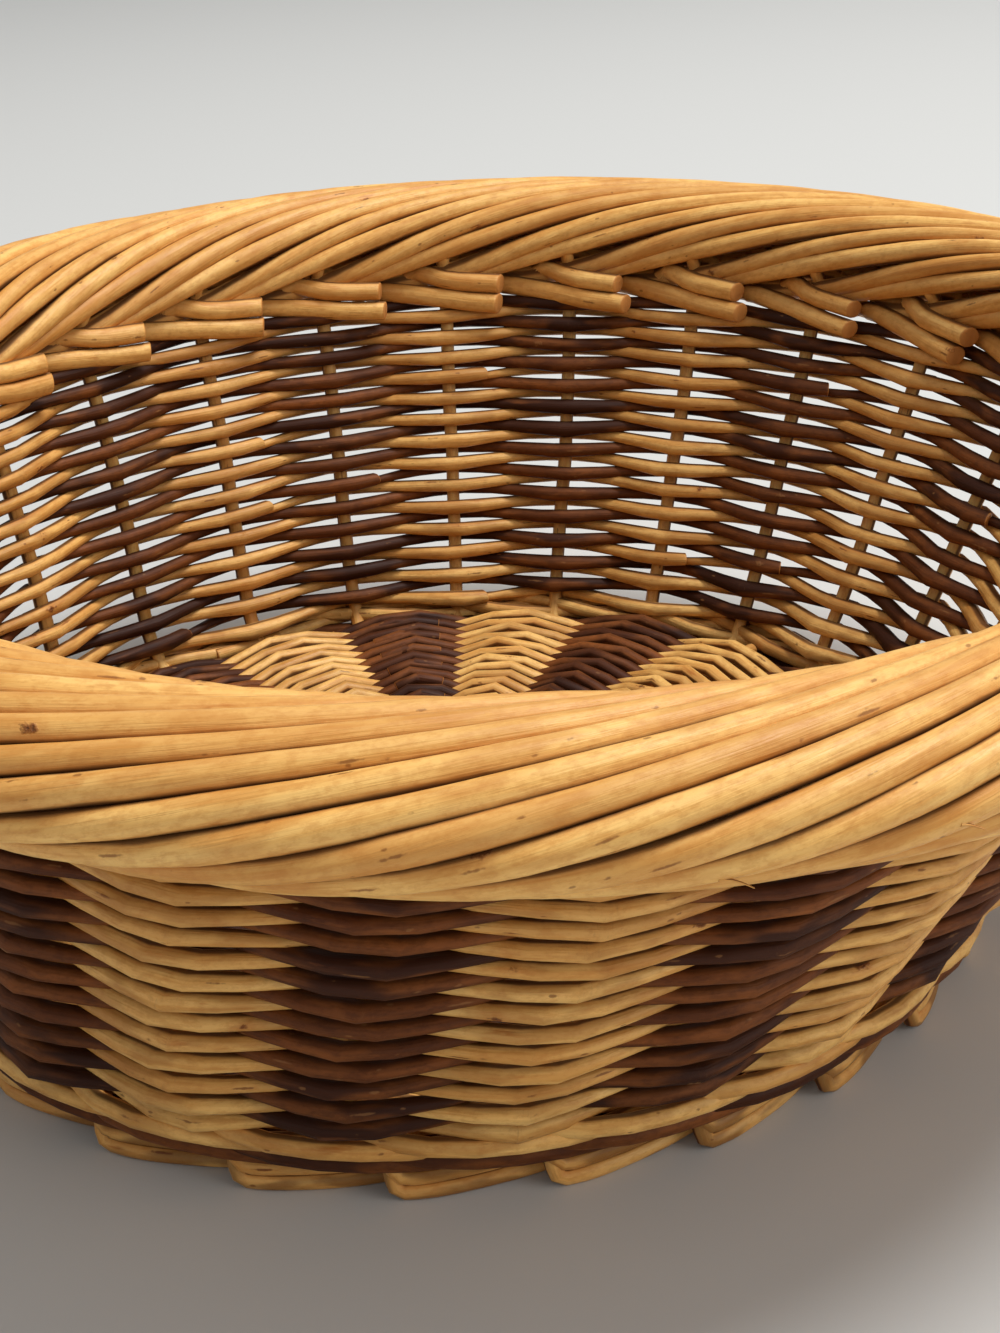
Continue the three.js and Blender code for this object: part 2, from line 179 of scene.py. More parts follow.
class Layout:
    """Radii and heights of the round basket, worked out from its sizes."""

    def __init__(self, scene):
        self.shape = shape = scene.basket_shape
        self.rods = rods = scene.basket_rods
        self.step = TAU / rods.stake_count
        self.rim_underside = shape.rim_height - shape.roll_half_height
        self.stake_foot_radius = shape.foot_radius - STAKE_INSET_ON_FOOT
        self.stake_foot_height = FOOT_HEIGHT + ROD_CLEARANCE + rods.stake * math.sqrt(0.5)
        self.wall_top_radius = shape.rim_radius - shape.wall_set_in
        self.wall_top_height = self.rim_underside - ROD_CLEARANCE
        self.base_radius = self.stake_foot_radius - rods.stake - ROD_CLEARANCE

    def stake_angle(self, stake):
        return self.shape.first_stake + stake * self.step

    def wall_radius(self, height):
        """The middle of the wall at a height: a straight-sided cone, with a flatter turn below it."""
        shape = self.shape
        heights = [self.stake_foot_height, shape.wall_foot_height, self.wall_top_height]
        radii = [self.stake_foot_radius, shape.wall_foot_radius, self.wall_top_radius]
        return np.interp(height, heights, radii)

    def lean(self, points):
        """Each level slides and tips by its share of what the rim does, and the back turns at its foot."""
        shape = self.shape
        x, y, z = points.T
        climb = np.clip((z - shape.wall_foot_height) / (self.rim_underside - shape.wall_foot_height), 0, 1)
        at_back = (1 + np.cos(np.arctan2(y, x) - shape.first_stake)) / 2
        turn = (climb - 1) * at_back * shape.stake_lean
        leaning_x = x * np.cos(turn) - y * np.sin(turn) + (climb - 1) * shape.rim_slide
        leaning_y = x * np.sin(turn) + y * np.cos(turn)
        leaning_z = z + climb * (shape.tip_x_share * x + shape.tip_y_share * y)
        return np.stack([leaning_x, leaning_y, leaning_z], axis=-1)


# Rods: a straight one is modelled once for each count of rings, and copies of it are bent to their lines

STRAIGHT_LENGTH = 40
END_BEVEL = 0.16
END_REACH = 1.0
MIN_RINGS = 3
ROD_ATTRIBUTES = ("rod_place", "rod_round", "rod_tone_and_shade", "rod_cut", "rod_bend")
ROD_VARIETY = (0.93, 1.05)
DRIFT_OCTAVES = ((1.0, 0.6), (2.3, 0.3), (4.1, 0.15))
THICKNESS_DRIFT = (0.035, 0.045)
GRAIN_SHIFT = (3.0, 1.0, 1.0)
TINY = 1e-12


class StraightRod:
    """A straight rod along +X, one unit in radius, with rings of edges at even steps and bevelled ends."""

    def __init__(self, rings, sides):
        bpy.ops.object.select_all(action="DESELECT")
        bpy.ops.mesh.primitive_cylinder_add(
            vertices=sides, radius=1, depth=STRAIGHT_LENGTH, end_fill_type="NGON",
            location=(STRAIGHT_LENGTH / 2, 0, 0), rotation=(0, math.pi / 2, 0),
        )
        rod = bpy.context.object
        bpy.ops.object.transform_apply(location=True, rotation=True, scale=True)
        bpy.ops.object.mode_set(mode="EDIT")
        bpy.ops.mesh.select_mode(type="EDGE")
        self.select_edges(rod, lambda edge: abs(edge.verts[0].co.x - edge.verts[1].co.x) > 1)
        bpy.ops.mesh.subdivide(number_cuts=rings)
        self.select_edges(rod, lambda edge: all(self.at_end(vert.co.x) for vert in edge.verts))
        bpy.ops.mesh.bevel(offset=END_BEVEL, segments=2, profile=0.5, affect="EDGES")
        bpy.ops.object.mode_set(mode="OBJECT")
        mesh = rod.data
        self.vertices = np.array([vertex.co for vertex in mesh.vertices])
        self.faces = [list(polygon.vertices) for polygon in mesh.polygons]
        self.cut = np.array([self.at_end(x, END_BEVEL / 2) for x in self.vertices[:, 0]], float)
        bpy.data.objects.remove(rod)
        bpy.data.meshes.remove(mesh)

    @staticmethod
    def at_end(x, reach=1e-4):
        return x < reach or x > STRAIGHT_LENGTH - reach

    @staticmethod
    def select_edges(rod, wanted):
        shape = bmesh.from_edit_mesh(rod.data)
        for edge in shape.edges:
            edge.select_set(bool(wanted(edge)))
        shape.select_flush_mode()
        bmesh.update_edit_mesh(rod.data)


@cache
def straight_rod(rings, sides):
    return StraightRod(rings, sides)


def smooth_through(points, samples_each):
    """A smooth line through given points, with even samples between each two of them."""
    points = np.asarray(points, float)
    padded = np.vstack([2 * points[0] - points[1], points, 2 * points[-1] - points[-2]])
    t = (np.arange(samples_each) / samples_each)[:, None]
    line = []
    for before, start, end, after in zip(padded, padded[1:], padded[2:], padded[3:]):
        bend = 2 * before - 5 * start + 4 * end - after
        swing = 3 * start - before - 3 * end + after
        line.append(start + ((end - before) * t + bend * t**2 + swing * t**3) / 2)
    return np.vstack([*line, points[-1:]])


def unit(vectors):
    return vectors / np.maximum(np.linalg.norm(vectors, axis=-1, keepdims=True), TINY)


def wander(rng, along, amount, wavelength):
    """Slow random drift along a rod, as no rod is quite straight or even."""
    drift = np.zeros_like(along)
    for octave, weight in DRIFT_OCTAVES:
        drift += weight * np.sin(TAU * along * octave / wavelength + rng.uniform(0, TAU))
    return amount * drift


def distance_along(line):
    return np.concatenate([[0], np.cumsum(np.linalg.norm(np.diff(line, axis=0), axis=1))])


class Bundle:
    """The rods of one piece. Each is bent to its line, and they are made into one mesh at the end."""

    def __init__(self, layout, seed):
        self.layout = layout
        self.rng = np.random.default_rng(seed)
        self.vertices = []
        self.faces = []
        self.notes = {key: [] for key in ROD_ATTRIBUTES}
        self.count = 0

    def add(self, line, facing, half, sides=10, ring_length=0.004, flat=1.0, bend=0.0, slant=0.0, painted_shade=0):
        """Adds a rod along a line. The facing is the way that its outer side looks at each point, half is
            half its thickness, flat is its width over its thickness, bend is how sharply it turns, from 0 to
            1, slant tilts its cut ends, and the last number is painted shade, added to its tone."""
        rng = self.rng
        along = distance_along(line)
        total = along[-1]
        half = half * (1 + wander(rng, along, *THICKNESS_DRIFT))
        rod = straight_rod(max(MIN_RINGS, int(round(total / ring_length))), sides)
        x, y, z = rod.vertices.T[:, :, None]
        thickness = half.mean()
        far = STRAIGHT_LENGTH - END_REACH
        at = np.interp(x, [0, END_REACH, far, STRAIGHT_LENGTH], [0, thickness, total - thickness, total])

        def here(values):
            """One value for each vertex of the rod, from those along its line."""
            return np.interp(at, along, np.broadcast_to(values, len(line)))

        def here_all(vectors):
            return np.hstack([here(column) for column in vectors.T])

        direction = unit(np.gradient(line, along, axis=0))
        out = unit(facing - (facing * direction).sum(1, keepdims=True) * direction)
        across = np.cross(direction, out)
        direction, out, across = (unit(here_all(ways)) for ways in (direction, out, across))
        half = here(half)
        tilt = slant * ((x < END_REACH) | (x > far)) * direction
        places = here_all(line) + half * (y * (out + tilt) + here(flat) * z * across)
        shift = rng.uniform(0, 1, 3) * GRAIN_SHIFT
        notes = (
            np.hstack([at, y * half, z * half]) + shift,
            np.hstack([at / total, y, z]),
            # Random tone of the rod, with any painted shade added
            np.full(len(x), min(1.0, rng.uniform() + painted_shade)),
            rod.cut,
            here(bend)[:, 0],
        )
        for key, values in zip(ROD_ATTRIBUTES, notes):
            self.notes[key].append(values)
        self.vertices.append(self.layout.lean(places))
        self.faces.extend([[index + self.count for index in face] for face in rod.faces])
        self.count += len(x)

    def make(self, name, material, slot, *nodes):
        """Makes the piece, which stands for the named nodes of the frame."""
        mesh = bpy.data.meshes.new(name)
        mesh.from_pydata(np.concatenate(self.vertices).tolist(), [], self.faces)
        mesh.polygons.foreach_set("use_smooth", [True] * len(mesh.polygons))
        for key, notes in self.notes.items():
            values = np.concatenate(notes).astype(np.float32)
            kind, field = ("FLOAT_VECTOR", "vector") if values.ndim == 2 else ("FLOAT", "value")
            mesh.attributes.new(key, kind, "POINT").data.foreach_set(field, values.ravel())
        mesh.update()
        piece = bpy.data.objects.new(name, mesh)
        bpy.context.scene.collection.objects.link(piece)
        mesh.materials.append(material)
        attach(piece, BODY)
        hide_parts(*nodes)


# Materials

MIX_AMOUNT, MIX_FIRST, MIX_SECOND, MIX_RESULT = 0, 6, 7, 2
BUMP_DISTANCE = 0.0004

# Grain: each kind's length and width on the rod, its detail and roughness, and the range of its noise
GRAINS = (
    ("Streaks", (0.030, 0.0022, 3.0, 0.5), (0.32, 0.68)),
    ("Patches", (0.020, 0.006, 2.0), (0.30, 0.70)),
    ("Mottle", (0.0028, 0.0014, 4.0, 0.7), (0.42, 0.66)),
)
FIBRES = (0.012, 0.0004)

# Marks: how far apart they lie along and across, what share has none, and the edge and softness of each ring
KNOT_SPACING = (0.0170, 0.0095)
NO_KNOT_SHARE = 0.48
KNOT_RINGS = (("Knots", 0.10, 0.06), ("Cores", 0.04, 0.04), ("Halos", 0.28, 0.26))
SMALL_MARKS = (("Specks", (0.0066, 0.0030), 0.13, 0.56), ("Scratches", (0.0170, 0.0022), 0.16, 0.55))
SMALL_MARK_CORE = 0.4
RAGGED_SCALE = 900.0
RAGGED_AMOUNT = 0.22
SMEARS = (0.016, 0.0028, 4.0, 0.65)
SMEAR_RANGE = (0.62, 0.76)
CRACKS = (0.0006, 0.0022, 5.0, 0.80)
CRACK_RANGE = (0.52, 0.80)
CRACK_BENDS = (0.30, 0.95)
UNEVEN = (0.012, 0.004, 2.0)
UNEVEN_AMOUNT = 0.36


def wire(tree, socket, value):
    """Gives a socket a value, or wires it to the output of another node."""
    if isinstance(value, bpy.types.NodeSocket):
        tree.links.new(value, socket)
    else:
        socket.default_value = value


def add_node(tree, kind, inputs=None, **settings):
    """Adds a node. Inputs are values, or the outputs of other nodes that are wired in."""
    node = tree.nodes.new(kind)
    for key, value in settings.items():
        setattr(node, key, value)
    for key, value in (inputs or {}).items():
        wire(tree, node.inputs[key], value)
    return node


def calculate(tree, operation, *values, clamp=False):
    inputs = dict(enumerate(values))
    return add_node(tree, "ShaderNodeMath", inputs, operation=operation, use_clamp=clamp).outputs[0]


def remap(tree, value, low, high, to_low=0.0, to_high=1.0):
    inputs = {"Value": value, "From Min": low, "From Max": high, "To Min": to_low, "To Max": to_high}
    return add_node(tree, "ShaderNodeMapRange", inputs, interpolation_type="SMOOTHSTEP").outputs[0]


def mix_colours(tree, amount, first, second):
    """Mixes two colours, each one a setting or the output of a node."""
    mix = add_node(tree, "ShaderNodeMix", {MIX_AMOUNT: amount}, data_type="RGBA")
    for index, value in ((MIX_FIRST, first), (MIX_SECOND, second)):
        wire(tree, mix.inputs[index], value if isinstance(value, bpy.types.NodeSocket) else (*value, 1))
    return mix.outputs[MIX_RESULT]


def stretched(tree, place, along, across):
    """The place on a rod, counted in units that are so many metres long and wide."""
    scale = (1 / along, 1 / across, 1 / across)
    return add_node(tree, "ShaderNodeMapping", {"Vector": place, "Scale": scale}).outputs[0]


def stretched_noise(tree, place, along, across, detail=3.0, roughness=0.55):
    """Noise on a rod whose grains are so many metres long and wide."""
    inputs = {"Vector": stretched(tree, place, along, across), "Scale": 1.0}
    inputs.update({"Detail": detail, "Roughness": roughness})
    return add_node(tree, "ShaderNodeTexNoise", inputs).outputs["Fac"]


def new_group(name, vectors, numbers, outputs):
    """A new node group that takes vectors and numbers in and gives numbers."""
    tree = bpy.data.node_groups.new(name, "ShaderNodeTree")
    sides = ((vectors, "INPUT", "Vector"), (numbers, "INPUT", "Float"), (outputs, "OUTPUT", "Float"))
    for keys, way, kind in sides:
        for key in keys:
            tree.interface.new_socket(name=key, in_out=way, socket_type=f"NodeSocket{kind}")
    return tree, tree.nodes.new("NodeGroupInput").outputs, tree.nodes.new("NodeGroupOutput").inputs


def grain_group(name):
    """Streaks of tone and fine fibres, both drawn out along the rod, and patches and mottling."""
    tree, given, result = new_group(name, ["Place"], [], [grain[0] for grain in GRAINS] + ["Fibres"])
    place = given["Place"]
    for kind, noise, span in GRAINS:
        tree.links.new(remap(tree, stretched_noise(tree, place, *noise), *span), result[kind])
    tree.links.new(stretched_noise(tree, place, *FIBRES), result["Fibres"])
    return tree


def spots(tree, place, spacing, none_share):
    """Distance from random spots that lie so many metres apart along and across, and which are kept."""
    place = stretched(tree, place, *spacing)
    cells = add_node(tree, "ShaderNodeTexVoronoi", {"Vector": place, "Scale": 1.0})
    chosen = add_node(tree, "ShaderNodeSeparateColor", {"Color": cells.outputs["Color"]})
    return cells.outputs["Distance"], calculate(tree, "GREATER_THAN", chosen.outputs[0], none_share)


def marks_group(name):
    """Knots with a dark ring and a stained halo, specks, short scratches along the rod, and smears."""
    outputs = [mark[0] for mark in (*KNOT_RINGS, *SMALL_MARKS)] + ["Smears"]
    tree, given, result = new_group(name, ["Place"], [], outputs)
    place = given["Place"]
    fine = add_node(tree, "ShaderNodeTexNoise", {"Vector": place, "Scale": RAGGED_SCALE, "Detail": 3.0})
    ragged = calculate(tree, "MULTIPLY_ADD", fine.outputs["Fac"], RAGGED_AMOUNT, -RAGGED_AMOUNT / 2)

    def ring(output, found, edge, inner_edge):
        distance, kept = found
        spot = remap(tree, calculate(tree, "ADD", distance, ragged), edge, inner_edge)
        tree.links.new(calculate(tree, "MULTIPLY", spot, kept), result[output])

    knots = spots(tree, place, KNOT_SPACING, NO_KNOT_SHARE)
    for output, edge, softness in KNOT_RINGS:
        ring(output, knots, edge, edge - softness)
    for output, spacing, edge, none_share in SMALL_MARKS:
        ring(output, spots(tree, place, spacing, none_share), edge, edge * SMALL_MARK_CORE)
    tree.links.new(remap(tree, stretched_noise(tree, place, *SMEARS), *SMEAR_RANGE), result["Smears"])
    return tree


def crevice_group(name):
    """How deep a point lies between its rod and the next: 0 on the open side and 1 where the two meet. The
    willow materials paint shade, and grime, by it.
    """
    tree, given, result = new_group(name, ["Place", "Round"], ["Open", "Shut"], ["Crevice"])
    parts = add_node(tree, "ShaderNodeSeparateXYZ", {"Vector": given["Round"]})
    open_side = calculate(tree, "ABSOLUTE", parts.outputs[1])
    uneven = stretched_noise(tree, given["Place"], *UNEVEN)
    uneven = calculate(tree, "MULTIPLY_ADD", uneven, UNEVEN_AMOUNT, -UNEVEN_AMOUNT / 2)
    shifted = calculate(tree, "ADD", open_side, uneven)
    tree.links.new(remap(tree, shifted, given["Open"], given["Shut"]), result["Crevice"])
    return tree


def new_material(name):
    material = bpy.data.materials.new(name)
    material.use_nodes = True
    return material, material.node_tree


def new_willow(name, open_at, shut_at):
    """A material, and what each kind of willow draws on: its mesh's notes, its grain, marks and crevices."""
    material, tree = new_material(name)
    reads = [add_node(tree, "ShaderNodeAttribute", attribute_name=key) for key in ROD_ATTRIBUTES]
    place, rounded = (read.outputs["Vector"] for read in reads[:2])
    tone, cut, bend = (read.outputs["Fac"] for read in reads[2:])
    sharp = remap(tree, bend, *CRACK_BENDS)
    cracks = remap(tree, stretched_noise(tree, place, *CRACKS), *CRACK_RANGE)
    masks = {"All": 1.0, "Tone": tone, "Cut": cut, "Cracks": calculate(tree, "MULTIPLY", cracks, sharp)}
    crevice = {"Place": place, "Round": rounded, "Open": open_at, "Shut": shut_at}
    for group_name, make_group, inputs in (
        ("Willow grain", grain_group, {"Place": place}),
        ("Willow marks", marks_group, {"Place": place}),
        ("Rod crevice", crevice_group, crevice),
    ):
        group = bpy.data.node_groups.get(group_name) or make_group(group_name)
        node = add_node(tree, "ShaderNodeGroup", inputs, node_tree=group)
        masks.update({output.name: output for output in node.outputs})
    return material, tree, masks


def layered(tree, base, masks, layers):
    """Lays colours over the base. Each layer has its mask, the range that the mask is read over or None, its
    strength and its colour."""
    for mask, span, strength, towards in layers:
        amount = remap(tree, masks[mask], *span) if span else masks[mask]
        base = mix_colours(tree, calculate(tree, "MULTIPLY", amount, strength, clamp=True), base, towards)
    return base


def summed(tree, start, masks, parts):
    """A number, with so much of each mask added to it."""
    for mask, strength in parts:
        start = calculate(tree, "MULTIPLY_ADD", masks[mask], strength, start)
    return start


def finish_material(tree, base, roughness, height, bump, specular):
    bump_inputs = {"Height": height, "Strength": bump, "Distance": BUMP_DISTANCE}
    normal = add_node(tree, "ShaderNodeBump", bump_inputs).outputs[0]
    shader = tree.nodes["Principled BSDF"]
    shader.inputs["Specular IOR Level"].default_value = specular
    for key, output in (("Base Color", base), ("Roughness", roughness), ("Normal", normal)):
        tree.links.new(output, shader.inputs[key])


def buff_willow(name, colours, dirt_and_shade=0.75, wear=0.5, shade=0.0, depth=0.70, soil=0.15):
    """Peeled willow that has been boiled with its bark: honey-coloured, with streaks, stains and knots, and
    with painted shade between the rods and, by the shade setting, over the whole rod.
    """
    if name in bpy.data.materials:
        return bpy.data.materials[name]
    material, tree, masks = new_willow(name, depth, 0.08)
    pale = calculate(tree, "MULTIPLY_ADD", masks["Streaks"], 0.45, 0.22)
    base = layered(tree, mix_colours(tree, pale, colours.buff_mid, colours.buff_light), masks, (
        # Tone differs at random from rod to rod; in the wall's top rows it also carries painted shade
        ("Tone", (0.35, 1.0), 0.42, colours.buff_deep),
        ("Patches", (0.45, 1.0), 0.45, colours.buff_deep),
        ("Streaks", (0.30, 0.0), 0.30, colours.buff_deep),
        ("Mottle", None, 0.38, colours.buff_deep),
        ("Smears", None, 0.2 + 0.6 * wear, colours.stain_and_shade),
        # Painted shade: the shade setting darkens the whole rod evenly towards the stain colour.
        ("All", None, shade, colours.stain_and_shade),
        ("Patches", (0.35, 0.80), soil, colours.grime_and_shade),
        ("Halos", None, 0.35, colours.stain_and_shade),
        ("Scratches", None, 0.45 + 0.4 * wear, colours.speck),
        ("Specks", None, 0.45 + 0.3 * wear, colours.speck),
        ("Knots", None, 0.85, colours.speck),
        ("Cores", None, 0.60, colours.grime_and_shade),
        ("Cracks", None, 0.45, colours.speck),
        # Painted shade between the rods, partly also grime: the rods darken towards where they meet.
        ("Crevice", None, 0.6 * dirt_and_shade, colours.stain_and_shade),
        ("Crevice", (0.42, 1.0), dirt_and_shade, colours.grime_and_shade),
        ("Cut", None, 0.9, colours.cut),
    ))
    roughness = summed(tree, 0.32, masks, (("Fibres", 0.22), ("Crevice", 0.3)))
    heights = (("Fibres", 1.0), ("Knots", 1.2), ("Cores", -1.6), ("Cracks", -1.0))
    finish_material(tree, base, roughness, summed(tree, 0.0, masks, heights), bump=0.45, specular=0.30)
    return material


def brown_willow(name, colours):
    """Willow with its bark on: dark red-brown to near black, with a low sheen, paler scuffs and painted
    shade between the rods.
    """
    if name in bpy.data.materials:
        return bpy.data.materials[name]
    material, tree, masks = new_willow(name, 0.70, 0.10)
    # Tone differs at random from rod to rod; in the wall's top rows it also carries painted shade
    dark = remap(tree, masks["Tone"], 0.15, 0.85)
    base = layered(tree, mix_colours(tree, dark, colours.brown_mid, colours.brown_deep_and_shade), masks, (
        ("Tone", (0.30, 0.05), 0.55, colours.brown_light),
        ("Patches", (0.30, 0.95), 0.62, colours.brown_light),
        ("Streaks", None, 0.40, colours.brown_deep_and_shade),
        ("Mottle", None, 0.35, colours.brown_deep_and_shade),
        ("Smears", None, 0.45, colours.brown_light),
        ("Specks", None, 0.50, colours.scuff),
        ("Scratches", None, 0.45, colours.scuff),
        ("Knots", None, 0.50, colours.scuff),
        ("Cores", None, 0.80, colours.brown_deep_and_shade),
        ("Cracks", None, 0.25, colours.scuff),
        # Painted shade between the rods, partly also grime: the bark darkens towards where the rods meet.
        ("Crevice", None, 0.80, colours.brown_deep_and_shade),
        ("Cut", None, 0.9, colours.cut),
    ))
    roughness = summed(tree, 0.46, masks, [("Fibres", 0.22)])
    heights = (("Fibres", 1.0), ("Knots", 1.0))
    finish_material(tree, base, roughness, summed(tree, 0.0, masks, heights), bump=0.40, specular=0.22)
    return material


def woven_willow(scene, colour_name):
    """The material of the rods of one colour in the wall, the wales and the base."""
    if colour_name == "buff":
        return buff_willow("Buff willow", scene.willow_colours, wear=0.7)
    return brown_willow("Brown willow", scene.willow_colours)


# Border and stakes: each stake ends inside the roll, and its two border rods wind round the roll

BORDER_RODS = 2
ROLL_START = math.radians(-110)
ROLL_DIVE = math.radians(215)
ROLL_END = math.radians(240)
ROLL_POINTS = 30
ROLL_LEAD_SHARE = 0.4
ROLL_RUN = 7.8
ROLL_DROOP = 0.0052
ROLL_DRIFT_OUT = (0.00025, 0.11)
ROLL_DRIFT_UP = (0.00022, 0.11)
DROOP_FROM = math.radians(125)
STEEPER_SHARE = 0.14
GATHER_FROM = math.radians(145)
GATHER_TO = math.radians(208)
GATHER_SHARE = 0.115
GATHER_DEPTH = 0.0004
STUB_LENGTH = 0.0095
STUB_SET_IN = 0.0030
STAKE_DRIFT = (0.0004, 0.08)
STAKE_SAMPLES = 8
BORDER_SAMPLES = 6

# Tails of the two border rods: heights at the cut end, behind the stake and where they leave the wall
TAIL_HEIGHTS = ((0.1022, 0.1036, 0.1046), (0.0970, 0.0985, 0.1000))
BUTT_SHARE = 0.45
BUTT_SPREAD_SHARES = (-0.05, 0.04)
TAIL_MIDDLE_SHARE = -0.15
TAIL_EXIT_SHARES = (0.22, 0.50)
TAIL_STEPS_OUT = np.array([-0.0022, -0.0010, 0.0, 0.0058])
DIP_SHARES = (0.33, 0.74)
DIP_HEIGHTS = (0.1010, 0.1002)
DIP_OUT = 0.0036

# Splinters: where on the rod they lie, how far they reach, swing and lift, and how thick they are
SPLINTER_SHARE = 0.18
SPLINTER_PLACE_SHARES = (0.25, 0.70)
SPLINTER_REACH = (0.003, 0.006)
SPLINTER_SWING = 0.0015
SPLINTER_LIFT = 0.0018
SPLINTER_ROOT_SHARE = 0.93
SPLINTER_HALVES = (0.00036, 0.00010)
SPLINTER_POINTS = 6


def roll_section(layout, turn):
    """Places of a border rod in the section of the roll, the ways it faces, and how much is laid so far."""
    half = layout.rods.border_butt
    half_width = layout.shape.roll_half_width - half
    half_height = layout.shape.roll_half_height - half
    droop = ROLL_DROOP * blend(DROOP_FROM, ROLL_DIVE, turn)
    places = np.stack([half_width * np.cos(turn), half_height * np.sin(turn) - droop], axis=-1)
    normals = unit(np.stack([np.cos(turn) / half_width, np.sin(turn) / half_height], axis=-1))
    return places, normals, distance_along(places)


def roll_advance(layout, turn, laid):
    """How far round the rim a border rod has come. It runs down more steeply near its dive."""
    slower = 1 - STEEPER_SHARE * blend(GATHER_FROM, GATHER_TO, turn)
    come = np.concatenate([[0], np.cumsum(np.diff(laid) * (slower[1:] + slower[:-1]) / 2)])
    return ROLL_RUN * layout.step * come / np.interp(ROLL_DIVE, turn, come)


def roll_line(layout, start_angle, order, rng):
    """A border rod on the roll: up the outside, over the top and down the inside, where the rods draw
    together in pairs and leave a gap at each stake."""
    shape = layout.shape
    turn = np.linspace(ROLL_START, ROLL_END, ROLL_POINTS)
    places, normals, laid = roll_section(layout, turn)
    gather = blend(GATHER_FROM, GATHER_TO, turn)
    side = -1 if order == 0 else 1
    angle = start_angle + roll_advance(layout, turn, laid) + side * GATHER_SHARE * gather * layout.step
    along = laid + start_angle * shape.rim_radius
    inward = GATHER_DEPTH * gather
    radius = shape.rim_radius + places[:, 0] + inward + wander(rng, along, *ROLL_DRIFT_OUT)
    height = shape.rim_height + places[:, 1] + wander(rng, along, *ROLL_DRIFT_UP)
    return around(angle, radius, height), outward(angle) * normals[:, :1] + UP * normals[:, 1:]


def border_rod_line(layout, angle, order, rng):
    """The whole line of a border rod: from its cut end behind the stake, out over the weave and up round the
    roll."""
    step = layout.step
    butt, at_stake, leaves = TAIL_HEIGHTS[order]
    heights = np.array([butt, (butt + at_stake) / 2, at_stake, leaves])
    butt_share = -BUTT_SHARE + rng.uniform(*BUTT_SPREAD_SHARES)
    tail_angles = angle + np.array([butt_share, TAIL_MIDDLE_SHARE, 0.0, TAIL_EXIT_SHARES[order]]) * step
    behind = layout.wall_radius(heights) - layout.rods.stake - layout.rods.border_butt
    tail = around(tail_angles, behind + TAIL_STEPS_OUT, heights)
    dip_radius = layout.wall_radius(DIP_HEIGHTS[order]) + DIP_OUT
    dip = around([angle + DIP_SHARES[order] * step], dip_radius, DIP_HEIGHTS[order])
    line, facing = roll_line(layout, angle + ROLL_LEAD_SHARE * step + order * step / BORDER_RODS, order, rng)
    return np.vstack([tail, dip, line]), np.vstack([-outward(tail_angles), -UP, facing])


def add_splinter(bundle, line, facing, half):
    """A strip of bark or wood that has torn loose from a rod at one end."""
    rng = bundle.rng
    at = int(rng.uniform(*SPLINTER_PLACE_SHARES) * len(line))
    direction = unit(line[at + 1] - line[at])
    out = facing[at]
    reach = rng.uniform(*SPLINTER_REACH)
    steps = np.linspace(0, 1, SPLINTER_POINTS)[:, None]
    sideways = np.cross(direction, out) * rng.uniform(-1, 1) * SPLINTER_SWING
    lift = half * SPLINTER_ROOT_SHARE + SPLINTER_LIFT * steps**2
    curl = line[at] + out * lift + direction * reach * steps + sideways * steps
    thin = np.linspace(*SPLINTER_HALVES, len(steps))
    bundle.add(curl, np.broadcast_to(out, curl.shape), thin, sides=6, ring_length=0.0008)


def stake_piece(layout, stake, material):
    """A stake and its pair of border rods."""
    bundle = Bundle(layout, SEED + stake)
    rng = bundle.rng
    rods = layout.rods
    angle = layout.stake_angle(stake)
    low, high = layout.shape.wall_foot_height, layout.wall_top_height
    heights = np.array([layout.stake_foot_height, low, (low + high) / 2, high, high + STUB_LENGTH])
    radii = layout.wall_radius(heights)
    radii[-1] -= STUB_SET_IN
    profile = smooth_through(np.stack([radii, heights], axis=-1), STAKE_SAMPLES)
    line = around(angle, profile[:, 0], profile[:, 1])
    line = line + outward(angle + TAU / 4) * wander(rng, distance_along(line), *STAKE_DRIFT)[:, None]
    bundle.add(line, np.broadcast_to(outward(angle), line.shape), rods.stake)

    for order in range(BORDER_RODS):
        line, facing = border_rod_line(layout, angle, order, rng)
        line = smooth_through(line, BORDER_SAMPLES)
        facing = unit(smooth_through(facing, BORDER_SAMPLES))
        half = np.linspace(rods.border_butt, rods.border_tip, len(line)) * rng.uniform(*ROD_VARIETY)
        bundle.add(line, facing, half, sides=14, ring_length=0.0034, slant=0.35)
        if rng.uniform() < SPLINTER_SHARE:
            add_splinter(bundle, line, facing, half.mean())
    number = f"{stake + 1:02d}"
    bundle.make(f"stake_rods_{number}", material, "border_willow", f"stake_{number}")


class BASKET_OT_stakes(bpy.types.Operator):
    """Builds the stakes and, out of their rods, the thick rolled border."""

    bl_idname = "basket.stakes"
    bl_label = "Stakes and rolled border"

    def execute(self, context):
        layout = Layout(context.scene)
        colours = context.scene.willow_colours
        material = buff_willow("Border willow", colours, dirt_and_shade=0.8, depth=0.74, soil=0.0)
        for stake in range(layout.rods.stake_count):
            stake_piece(layout, stake, material)
        return {"FINISHED"}


# Wall

WALL_SEED = SEED + 100
WEAVE_PHASES = {"buff": 1, "brown": 0}
WALL_SHARPNESS = 0.985
SAMPLES_PER_STAKE = 10
BUTT_REACH_SHARE = 0.30
TIP_REACH_SHARE = 0.04
JOIN_STEP = 10
JOIN_CHOICES = 3
CROSSING_HALF = 0.00155
CROSSING_SHARPNESS = 1.5
BEND_SHARPNESS = 7
UPSETT_ROWS = 4
UPSETT_STOUTER = 1.12
WEAVE_TOPSIDE = 0.0972
ROW_CROWDING = 0.10
ROW_DRIFT_UP = (0.0004, 0.16)
ROW_DRIFT_OUT = (0.00025, 0.09)
# Painted shade under the roll: the top rows of the wall are darkened in tone, from this share of the rows
# up.
TOP_PAINTED_SHADE = 0.8
TOP_PAINTED_SHADE_FROM = 0.62

